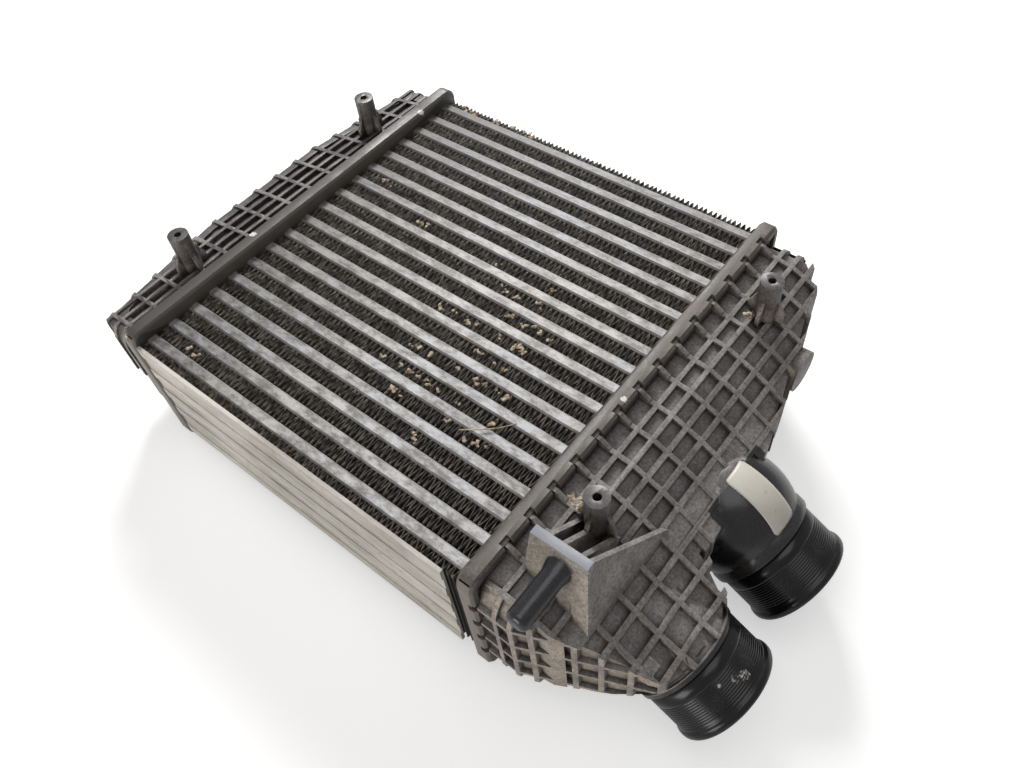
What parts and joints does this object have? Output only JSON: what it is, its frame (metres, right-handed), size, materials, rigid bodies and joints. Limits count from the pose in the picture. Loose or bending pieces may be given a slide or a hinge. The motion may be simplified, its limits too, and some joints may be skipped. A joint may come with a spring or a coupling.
{
  "type": "intercooler",
  "caption": "Charge-air cooler with a finned tube core between two ribbed plastic end tanks, one carrying two parallel hose necks, and screw bosses with a locating pin.",
  "frame": {"origin": "midway between the tops of the four screw bosses, in the plane that they seat against", "axes": "+X along the tubes towards the tank with the hose necks, +Y along the tanks away from the end with the locating pin, +Z through the core, out of the tops of the screw bosses"},
  "size_m": [0.4545, 0.2975, 0.1339],
  "materials": {
    "tube_aluminium": "dull brazed",
    "fin_aluminium": "dirty dull",
    "plate_aluminium": "dusty dull",
    "rail_metal": "dusty dark",
    "gasket_rubber": "matt",
    "spigot_plastic": "glossy moulded",
    "tank_plastic": "satin moulded, dusty"
  },
  "bodies": {
    "root": {"tube_01": "tube_aluminium", "tube_02": "tube_aluminium", "tube_03": "tube_aluminium", "tube_04": "tube_aluminium", "tube_05": "tube_aluminium", "tube_06": "tube_aluminium", "tube_07": "tube_aluminium", "tube_08": "tube_aluminium", "tube_09": "tube_aluminium", "tube_10": "tube_aluminium", "tube_11": "tube_aluminium", "tube_12": "tube_aluminium", "tube_13": "tube_aluminium", "tube_14": "tube_aluminium", "tube_15": "tube_aluminium", "tube_16": "tube_aluminium", "tube_17": "tube_aluminium", "tube_18": "tube_aluminium", "fin_01": "fin_aluminium", "fin_02": "fin_aluminium", "fin_03": "fin_aluminium", "fin_04": "fin_aluminium", "fin_05": "fin_aluminium", "fin_06": "fin_aluminium", "fin_07": "fin_aluminium", "fin_08": "fin_aluminium", "fin_09": "fin_aluminium", "fin_10": "fin_aluminium", "fin_11": "fin_aluminium", "fin_12": "fin_aluminium", "fin_13": "fin_aluminium", "fin_14": "fin_aluminium", "fin_15": "fin_aluminium", "fin_16": "fin_aluminium", "fin_17": "fin_aluminium", "fin_18": "fin_aluminium", "fin_19": "fin_aluminium", "side_plate_front": "plate_aluminium", "side_plate_back": "plate_aluminium", "spigot_upper": "spigot_plastic", "spigot_lower": "spigot_plastic", "header_return": "rail_metal", "header_port": "rail_metal", "gasket_return": "gasket_rubber", "gasket_port": "gasket_rubber", "return_tank": "tank_plastic", "port_tank": "tank_plastic"}
  },
  "joints": []
}
